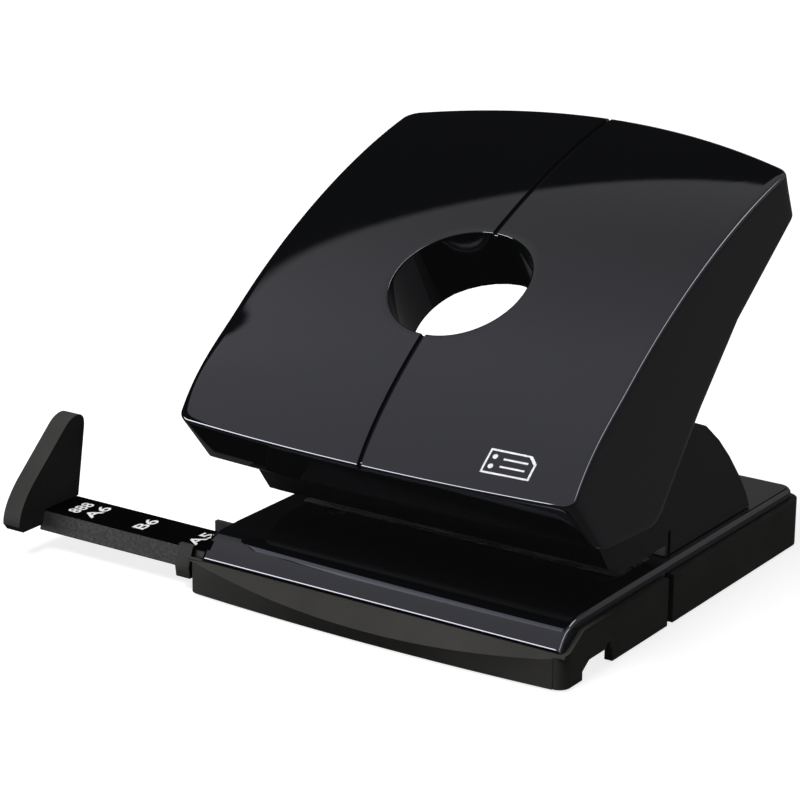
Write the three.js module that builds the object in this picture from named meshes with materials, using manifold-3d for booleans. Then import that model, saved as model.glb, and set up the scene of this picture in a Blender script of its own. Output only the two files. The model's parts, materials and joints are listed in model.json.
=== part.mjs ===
// Desk hole punch for two holes, 80 mm apart: long pressing handle over a low base, with a swing-down chip
// tray and a paper guide that slides out of the left side. Millimetres, +Z up, +Y towards the rear.
// Shapes are drawn with y = 0 at the front edge of the platform; the outer group moves the origin to the
// table under the middle of the footprint.
import * as THREE from "three";
import { mergeVertices } from "three/addons/utils/BufferGeometryUtils.js";
import Module from "manifold-3d";

const wasm = await Module();
wasm.setup();

// ---- driving dimensions -------------------------------------------------------------------------------
const GAP = 0.3; // clearance between pieces that meet
const BASE = { halfWidth: 53.3, rear: 122, floor: 0.6, top: 13.1, wall: 2.2, cornerR: 5 };
const BASE_LEFT = 56; // the left side is thicker, to carry the guide's collar
const FOOTPRINT_MID = 59.5; // y of the footprint's middle
const RAMP_TOP = 9; // y where the platform's curved front edge reaches its full height
const DECK = { halfWidth: 52, front: 9.8, top: 16.1, rampEnd: 5.7, rear: 120, skin: 1.8, cornerR: 4 };
const TRAY = { seam: 49.4, panFront: 52, frontTop: 9.4, bulge: 3.7, inner: 1.6, cornerR: 3 };
const TRAY_HINGE = { y: 51.6, z: 3.5, pinR: 1.2, holeR: 1.5 };
const TOWER = { halfWidth: 49.5, wall: 2.2, jaw: 19.2, stop: 54, top: 48.5 };
const HANDLE = { halfWidth: 56.2, wall: 2.6, front: -6.5, rear: 112.6 };
const HANDLE_BOW = { front: 3.5, rear: 10 }; // how far each end bows outwards in the middle
const CROWN = { start: 12, front: 3.1, rear: 4.4 }; // how far the top falls towards both sides
const PIVOT = { y: 22, z: 42, r: 2.5, boreR: 2.8, halfLength: 53.9, groove: 49.8 };
const GRIP_HOLE = { y: 36.3, z: 81.8, r: 18, wall: 1.6, depth: 19.5, tilt: THREE.MathUtils.degToRad(32.8) };
const PIN = {
  x: 40,
  y: 42,
  r: 2.75,
  tip: 19.7,
  hollow: 0.8,
  shoulder: 39.5,
  top: 41.7,
  headR: 3.6,
  chamfer: 0.6,
};
const WASHER = { r: 5, bottom: 38.3, top: 39.2 };
const PRESS_BAR = { y: 42, z: 45.4, r: 2.2, halfLength: 45.6, groove: 44, capR: 3.4, capHalf: 3.5 };
const CLIP = { grooveWidth: 1, bite: 0.5, thickness: 0.6, play: 0.2, reach: 1.7, mouth: 0.62 };
const ARM = { x: 31.5, thickness: 3, flange: 10, flangeThickness: 2, pivotR: 4.8, barR: 5, heel: [54, 73] };
const WEB = { thickness: 2.2, bottom: 50, top: 57.4 }; // joins the two arms in front
const FLANGE_LINE = { y0: 17, z0: 58, y1: 50, z1: 77.5 }; // where the lever frame meets the handle
const GUIDE_BLOCK = {
  bottom: TOWER.jaw + TOWER.wall + GAP,
  step: 25.2,
  top: 27.2,
  halfX: 6,
  halfY: 6,
  neckR: 5,
};
const SPRING = { r: 3.9, wire: 0.4, bottom: 27.9, top: 37.6, turns: 5 };
const RAIL = { left: -106, right: 12, top: 10.6, fin: 5.5, stop: -105 };
const LEAF = { left: -44.7, right: -15.3, front: 10, rear: 15, bottom: 10.9 }; // presses on the rail
const SCREW = {
  x: 43.6,
  ys: [59.5, 84],
  headR: 3,
  shankR: 1.5,
  holeR: 1.85,
  bottom: 1.4,
  shoulder: 3.6,
  tip: 25,
};

// ---- materials ----------------------------------------------------------------------------------------
const paint = (color, roughness, metalness = 0) =>
  new THREE.MeshStandardMaterial({ color, roughness, metalness });
const GLOSS_BLACK = paint(0x0b0c0e, 0.12);
const SATIN_BLACK = paint(0x1d1b1f, 0.4);
const MATTE_BLACK = paint(0x1c1b1a, 0.65);
const STEEL = paint(0xb4b6b8, 0.35, 1);
const SPRING_STEEL = paint(0x8e9092, 0.3, 1);
const RUBBER = paint(0x141414, 0.9);
const NYLON = paint(0xd8d6cf, 0.5);

// ---- solids -------------------------------------------------------------------------------------------
const X = new THREE.Vector3(1, 0, 0);
const Y = new THREE.Vector3(0, 1, 0);
const Z = new THREE.Vector3(0, 0, 1);
const SIDE_VIEW = new THREE.Matrix4().makeBasis(Y, Z, X); // a shape drawn in (y, z), extruded along x

function solidOf(geometry) {
  const bare = geometry.index ? geometry.toNonIndexed() : geometry.clone();
  bare.deleteAttribute("normal");
  bare.deleteAttribute("uv");
  const merged = mergeVertices(bare, 1e-4);
  return new wasm.Manifold(
    new wasm.Mesh({
      numProp: 3,
      vertProperties: merged.attributes.position.array,
      triVerts: new Uint32Array(merged.index.array),
    }),
  );
}

function meshOf(name, solid, material) {
  const made = solid.getMesh();
  const geometry = new THREE.BufferGeometry();
  geometry.setAttribute("position", new THREE.BufferAttribute(new Float32Array(made.vertProperties), 3));
  geometry.setIndex(new THREE.BufferAttribute(new Uint32Array(made.triVerts), 1));
  geometry.computeVertexNormals();
  const mesh = new THREE.Mesh(geometry, material);
  mesh.name = name;
  return mesh;
}

const mirrored = ([a, b], side) => (side > 0 ? [a, b] : [-b, -a]); // a span of x, or its mirror image
const polygon = (points) => new THREE.Shape(points.map(([a, b]) => new THREE.Vector2(a, b)));

// A prism along x from an outline in (y, z). warp(x, y, z) may move its points.
function prism(outline, x0, x1, steps = 1, warp = null) {
  const shape = outline instanceof THREE.Shape ? outline : polygon(outline);
  const settings = { depth: x1 - x0, steps, bevelEnabled: false, curveSegments: 10 };
  const geometry = new THREE.ExtrudeGeometry(shape, settings);
  geometry.applyMatrix4(SIDE_VIEW).translate(x0, 0, 0);
  if (warp) {
    const p = geometry.attributes.position;
    for (let i = 0; i < p.count; i++) p.setXYZ(i, ...warp(p.getX(i), p.getY(i), p.getZ(i)));
  }
  return solidOf(geometry);
}

// A slab from an outline in (x, y), between two heights.
function slab(outline, z0, z1) {
  const shape = outline instanceof THREE.Shape ? outline : polygon(outline);
  const settings = { depth: z1 - z0, bevelEnabled: false, curveSegments: 8 };
  const geometry = new THREE.ExtrudeGeometry(shape, settings);
  return solidOf(geometry.translate(0, 0, z0));
}

const block = (x0, x1, y0, y1, z0, z1) =>
  solidOf(
    new THREE.BoxGeometry(x1 - x0, y1 - y0, z1 - z0).translate((x0 + x1) / 2, (y0 + y1) / 2, (z0 + z1) / 2),
  );

const rodX = (r, x0, x1, y, z, sides = 16) =>
  solidOf(
    new THREE.CylinderGeometry(r, r, x1 - x0, sides)
      .rotateZ(-Math.PI / 2)
      .translate((x0 + x1) / 2, y, z),
  );

const rodZ = (r, x, y, z0, z1, sides = 14) =>
  solidOf(
    new THREE.CylinderGeometry(r, r, z1 - z0, sides)
      .rotateX(Math.PI / 2)
      .translate(x, y, (z0 + z1) / 2),
  );

// A rod along the line that leans back from the vertical by tilt, centred on (x, y, z).
const rodTilted = (r, x, y, z, low, high, tilt, sides = 12) =>
  solidOf(
    new THREE.CylinderGeometry(r, r, high - low, sides)
      .translate(0, (low + high) / 2, 0)
      .rotateX(Math.PI / 2 + tilt)
      .translate(x, y, z),
  );

// A turned piece about a vertical axis, from [radius, height] pairs.
const turned = (profile, x, y, sides = 16) =>
  solidOf(
    new THREE.LatheGeometry(profile.map(([r, h]) => new THREE.Vector2(r, h)), sides)
      .rotateX(Math.PI / 2)
      .translate(x, y, 0),
  );

// A turned piece about an axis along x.
const turnedX = (profile, y, z, sides = 16) =>
  solidOf(
    new THREE.LatheGeometry(profile.map(([r, h]) => new THREE.Vector2(r, h)), sides)
      .rotateZ(-Math.PI / 2)
      .translate(0, y, z),
  );

// ---- handle -------------------------------------------------------------------------------------------
const CHIN_TOP = 46.8; // height of the handle's front edge
const TOP_CURVE = new THREE.CubicBezierCurve(
  new THREE.Vector2(HANDLE.front, CHIN_TOP),
  new THREE.Vector2(8, 70.4),
  new THREE.Vector2(58, 99.2),
  new THREE.Vector2(106.2, 109.3),
);
const TOP_SAMPLES = 16;
const HANDLE_STEPS = 10;

// The top line of the handle's middle section, moved inwards by a depth.
function topLine(depth) {
  const line = [];
  for (let i = 0; i <= TOP_SAMPLES; i++) {
    const at = TOP_CURVE.getPoint(i / TOP_SAMPLES);
    const along = TOP_CURVE.getTangent(i / TOP_SAMPLES);
    line.push([at.x + along.y * depth, at.y - along.x * depth]);
  }
  return line;
}

// Seen from above, both ends of the handle bow outwards in the middle.
function bow(x, y) {
  const away = (x / HANDLE.halfWidth) ** 2;
  const along = (y - HANDLE.front) / (HANDLE.rear - HANDLE.front);
  return y + away * THREE.MathUtils.lerp(HANDLE_BOW.front, -HANDLE_BOW.rear, along);
}

// The top also falls away towards both sides, the more the further back.
function crowned(x, y, z) {
  const rise = THREE.MathUtils.clamp((y - HANDLE.front) / CROWN.start, 0, 1);
  const along = (y - HANDLE.front) / (HANDLE.rear - HANDLE.front);
  const fall = THREE.MathUtils.lerp(CROWN.front, CROWN.rear, along) * rise;
  return [x, bow(x, y), z - fall * (x / HANDLE.halfWidth) ** 2];
}
const bowed = (x, y, z) => [x, bow(x, y), z];

const BELOW = 20; // a height under everything that the handle's cuts reach
const BEYOND = { y: 120, z: 130 }; // behind and above the whole handle
const SKIRT_UNDER = [
  [6.9, 33.8],
  [11.7, 32.4],
  [39.1, 31],
  [60.5, 54.5],
  [80.7, 72.9],
  [98.6, 84.5],
  [113, 93.4],
];

function handleOutside() {
  const rear = [
    [107.8, 107.6],
    [110.6, 102.2],
    [HANDLE.rear, 96.8],
    [HANDLE.rear, BELOW],
    [HANDLE.front, BELOW],
  ];
  const w = HANDLE.halfWidth;
  return prism([...topLine(0), ...rear], -w, w, HANDLE_STEPS, crowned);
}

function handleInside() {
  const w = HANDLE.halfWidth - HANDLE.wall;
  const top = topLine(HANDLE.wall).filter(([y]) => y < HANDLE.rear - 2 * HANDLE.wall);
  const rear = [
    [105.6, 105.2],
    [108, 101],
    [110, 96],
    [110, BELOW],
    [HANDLE.front + HANDLE.wall, BELOW],
  ];
  return prism([...top, ...rear], -w, w, HANDLE_STEPS, crowned);
}

// Everything above the chin and the skirts' lower edge.
function aboveSkirt(chinInset, openFrom) {
  const front = HANDLE.front + chinInset;
  const under = openFrom ? [[openFrom, 34], [openFrom, BELOW], [BEYOND.y, BELOW]] : SKIRT_UNDER;
  const w = HANDLE.halfWidth + 1;
  const outline = [
    [front - 4, CHIN_TOP + chinInset],
    [front, CHIN_TOP + chinInset * 0.3],
    ...under,
    [BEYOND.y, BEYOND.z],
    [front - 4, BEYOND.z],
  ];
  return prism(outline, -w, w, HANDLE_STEPS, bowed);
}

const gripAxis = (r, low, high) =>
  rodTilted(r, 0, GRIP_HOLE.y, GRIP_HOLE.z, low, high, GRIP_HOLE.tilt, 36);

// Places along the flange line, where the lever frame is screwed to the handle.
const FLANGE_TILT = Math.atan2(FLANGE_LINE.z1 - FLANGE_LINE.z0, FLANGE_LINE.y1 - FLANGE_LINE.y0);
const flangeAt = (t) => [
  THREE.MathUtils.lerp(FLANGE_LINE.y0, FLANGE_LINE.y1, t),
  THREE.MathUtils.lerp(FLANGE_LINE.z0, FLANGE_LINE.z1, t),
];
const HANDLE_SCREW_X = 38.5;
const HANDLE_SCREWS = [-1, 1].flatMap((side) =>
  [0.25, 0.8].map((t) => [side * HANDLE_SCREW_X, ...flangeAt(t)]),
);

const SCREW_BOSS = { r: 3.2, length: 14, boreR: 1.7, boreDepth: 7.4 };
const HANDLE_SCREW = { headR: 2.7, head: -4.4, shankR: 1.35, tip: 6.6 };
const AXLE_BOSS = { r: 6, from: 51.4, boreTo: 54.4 };
const GROOVE = { halfWidth: 0.7, depth: 1 };

function handleShell() {
  const outside = handleOutside();
  const outer = outside.intersect(aboveSkirt(0, 0));
  let shell = outer.subtract(handleInside().intersect(aboveSkirt(HANDLE.wall * 1.4, 13)));
  shell = shell.add(gripAxis(GRIP_HOLE.r + GRIP_HOLE.wall, -GRIP_HOLE.depth, 8).intersect(outside));
  for (const [x, y, z] of HANDLE_SCREWS) {
    const boss = rodTilted(SCREW_BOSS.r, x, y, z, GAP, SCREW_BOSS.length, FLANGE_TILT);
    const bore = rodTilted(SCREW_BOSS.boreR, x, y, z, -1, SCREW_BOSS.boreDepth, FLANGE_TILT);
    shell = shell.add(boss.intersect(outside)).subtract(bore);
  }
  for (const side of [-1, 1]) {
    const boss = mirrored([AXLE_BOSS.from, HANDLE.halfWidth - HANDLE.wall + 1], side);
    const bore = mirrored([AXLE_BOSS.from - 0.4, AXLE_BOSS.boreTo], side);
    shell = shell.add(rodX(AXLE_BOSS.r, ...boss, PIVOT.y, PIVOT.z));
    shell = shell.subtract(rodX(PIVOT.boreR, ...bore, PIVOT.y, PIVOT.z));
  }
  const grooveOutline = [...topLine(-2), ...topLine(GROOVE.depth).reverse()];
  const groove = prism(grooveOutline, -GROOVE.halfWidth, GROOVE.halfWidth);
  return shell.subtract(groove).subtract(gripAxis(GRIP_HOLE.r, -2 * GRIP_HOLE.depth, GRIP_HOLE.depth));
}

const LINER_UNDER = [
  [58, 71.2],
  [70, 77],
  [90, 88.5],
  [109.2, 96.2],
];
const LINER_RIB = { x: 26, thickness: 2, front: 62, rear: 78, bottom: 77, top: 92 };

// Thin panel that closes the handle from below, behind the grip hole.
function handleLiner() {
  const over = LINER_UNDER.map(([y, z]) => [y - 0.8, z + 1.8]).reverse();
  const w = HANDLE.halfWidth - HANDLE.wall - GAP;
  const panel = prism([...LINER_UNDER, ...over], -w, w, HANDLE_STEPS, crowned);
  const { x, thickness, front, rear, bottom, top } = LINER_RIB;
  const half = thickness / 2;
  const ribs = [-x, x].map((middle) => block(middle - half, middle + half, front, rear, bottom, top));
  const body = ribs.reduce((all, rib) => all.add(rib.intersect(handleInside())), panel);
  const tube = gripAxis(GRIP_HOLE.r + GRIP_HOLE.wall + GAP, -2 * GRIP_HOLE.depth, GRIP_HOLE.depth);
  return body.intersect(handleInside()).subtract(tube);
}

// Pressed steel frame: two arms on the axle, a cross web in front, flanges that carry the handle.
function leverFrame() {
  const side = new THREE.Shape();
  const [y0, z0, y1, z1] = [FLANGE_LINE.y0, FLANGE_LINE.z0, FLANGE_LINE.y1, FLANGE_LINE.z1];
  side.moveTo(y0, z0);
  side.absarc(PIVOT.y, PIVOT.z, ARM.pivotR, Math.PI, Math.PI * 1.5, false);
  side.absarc(PRESS_BAR.y, PRESS_BAR.z, ARM.barR, Math.PI * 1.5, Math.PI * 2, false);
  side.lineTo(...ARM.heel);
  side.lineTo(y1, z1);
  side.closePath();
  const half = ARM.thickness / 2;
  let frame = null;
  for (const sign of [-1, 1]) {
    const x = sign * ARM.x;
    const arm = prism(side, x - half, x + half);
    const [a, b] = [x, x + sign * ARM.flange].sort((p, q) => p - q);
    const t = ARM.flangeThickness;
    const [dy, dz] = [t * Math.sin(FLANGE_TILT), t * Math.cos(FLANGE_TILT)];
    const flange = prism([[y0, z0], [y1, z1], [y1 + dy, z1 - dz], [y0 + dy, z0 - dz]], a, b);
    frame = frame ? frame.add(arm).add(flange) : arm.add(flange);
  }
  frame = frame.add(block(-ARM.x, ARM.x, y0 - 0.6, y0 - 0.6 + WEB.thickness, WEB.bottom, WEB.top));
  frame = frame.subtract(rodX(PIVOT.boreR, -60, 60, PIVOT.y, PIVOT.z));
  frame = frame.subtract(rodX(PRESS_BAR.r + GAP, -60, 60, PRESS_BAR.y, PRESS_BAR.z));
  for (const [x, y, z] of HANDLE_SCREWS) {
    frame = frame.subtract(rodTilted(SCREW_BOSS.boreR, x, y, z, -6, 3, FLANGE_TILT));
  }
  return frame;
}

function handleScrew([x, y, z]) {
  const { headR, head, shankR, tip } = HANDLE_SCREW;
  const cap = rodTilted(headR, x, y, z, head, -ARM.flangeThickness - GAP, FLANGE_TILT);
  return cap.add(rodTilted(shankR, x, y, z, head + 1.4, tip, FLANGE_TILT));
}

// ---- shafts, caps and clips ---------------------------------------------------------------------------
// A shaft along x with a retaining groove near each end.
function groovedShaft({ r, halfLength, groove, y, z }) {
  const bottom = r - CLIP.bite;
  const right = [
    [bottom, groove],
    [bottom, groove + CLIP.grooveWidth],
    [r, groove + CLIP.grooveWidth],
    [r, halfLength],
    [0, halfLength],
  ];
  const left = right.map(([radius, x]) => [radius, -x]).reverse();
  return turnedX([...left, [r, -groove], [r, groove], ...right], y, z);
}

// Spring clip in a shaft's groove: a ring that is open below.
function clip({ r, groove, y, z }, side) {
  const start = groove + CLIP.play;
  const [a, b] = mirrored([start, start + CLIP.thickness], side);
  const ring = rodX(r + CLIP.reach, a, b, y, z).subtract(rodX(r - CLIP.bite + GAP, a - 1, b + 1, y, z));
  const mouth = r * CLIP.mouth;
  return ring.subtract(block(a - 1, b + 1, y - mouth, y + mouth, z - r - 2 * CLIP.reach, z));
}

function pressCap(side) {
  const x = side * PIN.x;
  const { r, y, z, capR, capHalf } = PRESS_BAR;
  const outer = rodX(capR, x - capHalf, x + capHalf, y, z, 24);
  return outer.subtract(rodX(r + GAP, x - capHalf - 1, x + capHalf + 1, y, z, 24));
}

// ---- punches ------------------------------------------------------------------------------------------
// The cutting end is hollow-ground, so it bites at its rim first.
function punchPin(side) {
  const { r, tip, hollow, shoulder, headR, top, chamfer } = PIN;
  const profile = [
    [0, tip + hollow],
    [r, tip],
    [r, shoulder],
    [headR, shoulder],
    [headR, top - chamfer],
    [headR - chamfer, top],
    [0, top],
  ];
  return turned(profile, side * PIN.x, PIN.y, 24);
}

function springWasher(side) {
  const inner = PIN.r + GAP;
  const { bottom, top, r } = WASHER;
  const profile = [
    [inner, bottom],
    [r, bottom],
    [r, top],
    [inner, top],
    [inner, bottom],
  ];
  return turned(profile, side * PIN.x, PIN.y);
}

function returnSpring(side) {
  const points = [];
  const perTurn = 9;
  const count = SPRING.turns * perTurn;
  for (let i = 0; i <= count; i++) {
    const turn = (i / perTurn) * Math.PI * 2;
    const z = THREE.MathUtils.lerp(SPRING.bottom, SPRING.top, i / count);
    points.push(new THREE.Vector3(SPRING.r * Math.cos(turn), SPRING.r * Math.sin(turn), z));
  }
  const wire = new THREE.Shape().absarc(0, 0, SPRING.wire, 0, Math.PI * 2, false);
  const geometry = new THREE.ExtrudeGeometry(wire, {
    extrudePath: new THREE.CatmullRomCurve3(points),
    steps: count,
    curveSegments: 3,
    bevelEnabled: false,
  });
  return solidOf(geometry.translate(side * PIN.x, PIN.y, 0));
}

function punchGuide(side) {
  const { bottom, step, top, halfX, halfY, neckR } = GUIDE_BLOCK;
  const x = side * PIN.x;
  return block(x - halfX, x + halfX, PIN.y - halfY, PIN.y + halfY, bottom, step)
    .add(rodZ(neckR, x, PIN.y, bottom, top, 24))
    .subtract(rodZ(PIN.r + GAP, x, PIN.y, bottom - 1, top + 1, 24));
}

// ---- tower --------------------------------------------------------------------------------------------
const TOWER_REAR = [
  [64, TOWER.top],
  [72.7, 45],
  [80, 39.3],
  [86, 33.4],
  [92, 26.4],
  [96, 20.9],
];
const TOWER_FRONT = [
  [32, TOWER.jaw],
  [26, 22],
  [21.7, 27.7],
  [18, 33],
  [14, 40],
  [14, 45],
  [17, TOWER.top],
];
const TOWER_FRONT_INSIDE = [
  [27.4, 24],
  [23.6, 29],
  [20, 34.2],
  [16.2, 41],
  [16.2, 70],
];
const TOWER_POST = { r: 3.8, top: 28, boreTop: 26 }; // for the screws that come up through the base
const TOWER_SLOT = { front: 55.2, rear: 56.4, top: 22.5, depth: 0.8 };

function towerHousing() {
  const foot = DECK.top + GAP;
  const w = TOWER.halfWidth;
  const inner = w - TOWER.wall;
  const t = TOWER.wall;
  const outer = [
    ...TOWER_FRONT,
    ...TOWER_REAR,
    [98.5, foot],
    [TOWER.stop, foot],
    [TOWER.stop, TOWER.jaw],
  ];
  const floor = TOWER.jaw + t;
  const rearInside = TOWER_REAR.slice(1).map(([y, z]) => [y - 1.5, z - 1.7]);
  const cavity = [
    [32.8, floor],
    ...TOWER_FRONT_INSIDE,
    [62, 70],
    [62, 46.4],
    ...rearInside,
    [95.8, foot - 2],
    [TOWER.stop + t, foot - 2],
    [TOWER.stop + t, floor],
  ];
  let tower = prism(outer, -w, w).subtract(prism(cavity, -inner, inner));
  for (const side of [-1, 1]) {
    const [a, b] = mirrored([w - TOWER_SLOT.depth, w + 1], side);
    tower = tower.subtract(block(a, b, TOWER_SLOT.front, TOWER_SLOT.rear, foot - 1, TOWER_SLOT.top));
    tower = tower.subtract(rodX(PIVOT.boreR, side * w - 4, side * w + 4, PIVOT.y, PIVOT.z));
    tower = tower.subtract(rodZ(PIN.r + GAP, side * PIN.x, PIN.y, TOWER.jaw - 1, floor + 1, 24));
    for (const y of SCREW.ys) {
      tower = tower.add(rodZ(TOWER_POST.r, side * SCREW.x, y, foot, TOWER_POST.top));
      tower = tower.subtract(rodZ(SCREW.holeR, side * SCREW.x, y, foot - 1, TOWER_POST.boreTop));
    }
  }
  return tower;
}

// ---- base ---------------------------------------------------------------------------------------------
// Plan of the base with round rear corners.
function plan(left, right, front, rear, cornerR) {
  const shape = new THREE.Shape();
  shape.moveTo(left, front);
  shape.lineTo(right, front);
  shape.absarc(right - cornerR, rear - cornerR, cornerR, 0, Math.PI / 2, false);
  shape.absarc(left + cornerR, rear - cornerR, cornerR, Math.PI / 2, Math.PI, false);
  shape.closePath();
  return shape;
}

const BASE_SCREWS = [-1, 1].flatMap((side) => SCREW.ys.map((y) => [side * SCREW.x, y]));
const DIE = {
  front: 34,
  rear: 63,
  halfWidth: 46.6,
  under: 12.4,
  step: 14,
  top: 16,
  padFront: 36.4,
  padRear: 51.6,
};

function platformCover() {
  const { halfWidth: w, skin, top, front, rampEnd, rear, cornerR } = DECK;
  const side = new THREE.Shape();
  side.moveTo(2.2, front);
  side.lineTo(0, front);
  side.quadraticCurveTo(2.4, 15.6, RAMP_TOP, top);
  side.lineTo(rear + 1, top);
  side.lineTo(rear + 1, BASE.top + GAP);
  side.lineTo(RAMP_TOP, BASE.top + GAP);
  side.lineTo(4, 10.5);
  side.closePath();
  const inside = [
    [2.2, 8],
    [2.2, front],
    [rampEnd + 1.2, top - skin],
    [rear, top - skin],
    [rear, 8],
  ];
  const outer = slab(plan(-w, w, -1, rear, cornerR), 8, top).intersect(prism(side, -w - 1, w + 1));
  const hollowPlan = plan(-w + skin, w - skin, -2, rear - skin, cornerR - skin);
  const inner = slab(hollowPlan, 7, top).intersect(prism(inside, -w, w));
  const guideWay = block(-w - 1, -w + skin + GAP, 1.5, 19, 8, top - skin);
  const padHalf = DIE.halfWidth + GAP;
  const pad = block(-padHalf, padHalf, DIE.padFront - GAP, DIE.padRear + GAP, top - 3, top + 1);
  let cover = outer.subtract(inner).subtract(guideWay).subtract(pad);
  for (const [x, y] of BASE_SCREWS) cover = cover.subtract(rodZ(SCREW.holeR, x, y, top - 4, top + 1));
  return cover;
}

function diePlate() {
  const { front, rear, halfWidth: w, under, step, top, padFront, padRear } = DIE;
  const outline = [
    [front, under],
    [rear, under],
    [rear, step],
    [padRear, step],
    [padRear, top],
    [padFront, top],
    [padFront, step],
    [front, step],
  ];
  let plate = prism(outline, -w, w);
  for (const side of [-1, 1]) {
    plate = plate.subtract(rodZ(PIN.r + GAP, side * PIN.x, PIN.y, under - 1, top + 1, 24));
    plate = plate.subtract(rodZ(SCREW.holeR, side * SCREW.x, SCREW.ys[0], under - 1, top + 1));
  }
  return plate;
}

// Hinge knuckles of the chip tray, as spans of x on the right side.
const KNUCKLE_R = 2.6;
const TRAY_KNUCKLE = [28.2, 35.8];
const PAN_KNUCKLES = [[22, 27.8], [36.2, 42]];
const PAN_POST_R = 4.4;

function basePan() {
  const { halfWidth: w, rear, floor, top, wall, cornerR } = BASE;
  const hinge = TRAY_HINGE;
  const frontWall = 55;
  const hollowPlan = plan(-w + wall, w - wall, frontWall + wall, rear - wall, cornerR - wall);
  let pan = slab(plan(-BASE_LEFT, w, TRAY.panFront, rear, cornerR), floor, top);
  pan = pan.subtract(slab(hollowPlan, floor + 2, top + 1));
  pan = pan.subtract(block(-w + wall, w - wall, 40, frontWall, 0, top + 1));
  pan = pan.subtract(block(-w + wall, w - wall, 40, 63.5, DIE.under - GAP, top + 1));
  for (const side of [-1, 1]) {
    for (const span of PAN_KNUCKLES) {
      const [a, b] = mirrored(span, side);
      pan = pan.add(block(a, b, hinge.y, frontWall + 0.5, hinge.z - 1.2, hinge.z + 2.6));
      pan = pan.add(rodX(KNUCKLE_R, a, b, hinge.y, hinge.z));
    }
    for (const y of SCREW.ys) {
      const height = y === SCREW.ys[0] ? DIE.under - GAP : DECK.top - DECK.skin - GAP;
      pan = pan.add(rodZ(PAN_POST_R, side * SCREW.x, y, floor + 1, height));
      pan = pan.subtract(rodZ(SCREW.holeR, side * SCREW.x, y, 0, height + 1));
      pan = pan.subtract(rodZ(SCREW.headR + 0.4, side * SCREW.x, y, 0, 4));
    }
  }
  pan = pan.subtract(rodX(hinge.holeR, -w + 5, w - 5, hinge.y, hinge.z));
  for (const strip of [STRIPS.middle, STRIPS.rear]) pan = pan.subtract(stripSolid(strip, GAP));
  return pan;
}

// The tray's front face: its upper edge is straight, its middle bulges forwards and its foot is drawn in.
const TRAY_FRONT = { lipY: 0.4, ridgeOut: 3.5, ridgeZ: 4.2, ridgeRise: 4.4, footY: -2.1, footIn: 2.1 };
function trayWarp(x, y, z) {
  const away = (x / BASE.halfWidth) ** 2;
  if (y > 0) return [x, y, z];
  if (z > 2) return [x, y + TRAY.bulge * away, z + TRAY_FRONT.ridgeRise * away];
  return [x, y + TRAY_FRONT.footIn * away, z];
}

// Way in for the paper guide. Its rear edge stays clear of the guide's channel when the tray swings down.
const GUIDE_WAY = { front: 1.7, rear: 20.6, bottom: 4.9 };
const CORNER_TOP = 8.6; // the corners are round up to the front's upper edge

function chipTray() {
  const { halfWidth: w, floor, top, wall } = BASE;
  const hinge = TRAY_HINGE;
  const seam = TRAY.seam;
  const outline = [
    [TRAY_FRONT.lipY, TRAY.frontTop],
    [-TRAY_FRONT.ridgeOut, TRAY_FRONT.ridgeZ],
    [TRAY_FRONT.footY, floor],
    [seam, floor],
    [seam, top],
    [RAMP_TOP, top],
    [4, 10.1],
    [2.4, TRAY.frontTop],
  ];
  let tray = prism(outline, -BASE_LEFT, w, 16, trayWarp);
  tray = tray.subtract(cornerCutter(w, 1)).subtract(cornerCutter(BASE_LEFT, -1));
  tray = tray.subtract(block(-w + wall, w - wall, TRAY.inner, seam - wall, floor + 2, top + 1));
  tray = tray.subtract(block(-w + wall, w - wall, DIE.front - 1, seam + 1, DIE.under - GAP, top + 1));
  for (const side of [-1, 1]) {
    const [a, b] = mirrored(TRAY_KNUCKLE, side);
    tray = tray.add(block(a, b, seam - 1, hinge.y, hinge.z - 1.8, hinge.z + 2.6));
    tray = tray.add(rodX(KNUCKLE_R, a, b, hinge.y, hinge.z));
  }
  tray = tray.subtract(rodX(hinge.holeR, -w + 5, w - 5, hinge.y, hinge.z));
  for (const side of [-1, 1]) {
    for (const span of PAN_KNUCKLES) {
      const [a, b] = mirrored(span, side);
      tray = tray.subtract(rodX(KNUCKLE_R + 0.4, a - GAP, b + GAP, hinge.y, hinge.z));
    }
  }
  const way = [GUIDE_WAY.front, GUIDE_WAY.rear, GUIDE_WAY.bottom, top + 1];
  tray = tray.subtract(block(-BASE_LEFT - 1, -w + wall + 1, ...way));
  return fingerPocket(tray).subtract(stripSolid(STRIPS.front, GAP));
}

// What a round upright corner of the tray leaves outside it. side is 1 on the right and -1 on the left.
function cornerCutter(halfWidth, side) {
  const r = TRAY.cornerR;
  const around = mirrored([halfWidth - r, halfWidth + 1], side);
  const square = block(...around, -r, r, BASE.floor - 1, CORNER_TOP);
  return square.subtract(rodZ(r, side * (halfWidth - r), r, BASE.floor - 2, CORNER_TOP + 1, 24));
}

// Pocket under the tray's right edge, for the finger that pulls it down.
const FINGER_POCKET = { depth: 18, front: 8.6, rear: 22.6, innerRear: 34, height: 4.8, wall: 1.4 };

function fingerPocket(tray) {
  const { depth, front, rear, innerRear, height, wall } = FINGER_POCKET;
  const w = BASE.halfWidth;
  const arch = [
    [front, -1],
    [rear, -1],
    [rear, height - 1],
    [rear - 3, height],
    [front + 3, height],
    [front, height - 2],
  ];
  const roof = block(w - depth - wall, w - 1, front - wall, innerRear + wall, BASE.floor, height + wall);
  const hollow = block(w - depth, w - BASE.wall, front, innerRear, -1, height);
  const notch = block(w - BASE.wall - 1, w + 1, rear - 3, rear - 1.2, 2, height + 1.2);
  return tray.add(roof).subtract(hollow).subtract(prism(arch, w - depth, w + 1)).subtract(notch);
}

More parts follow.
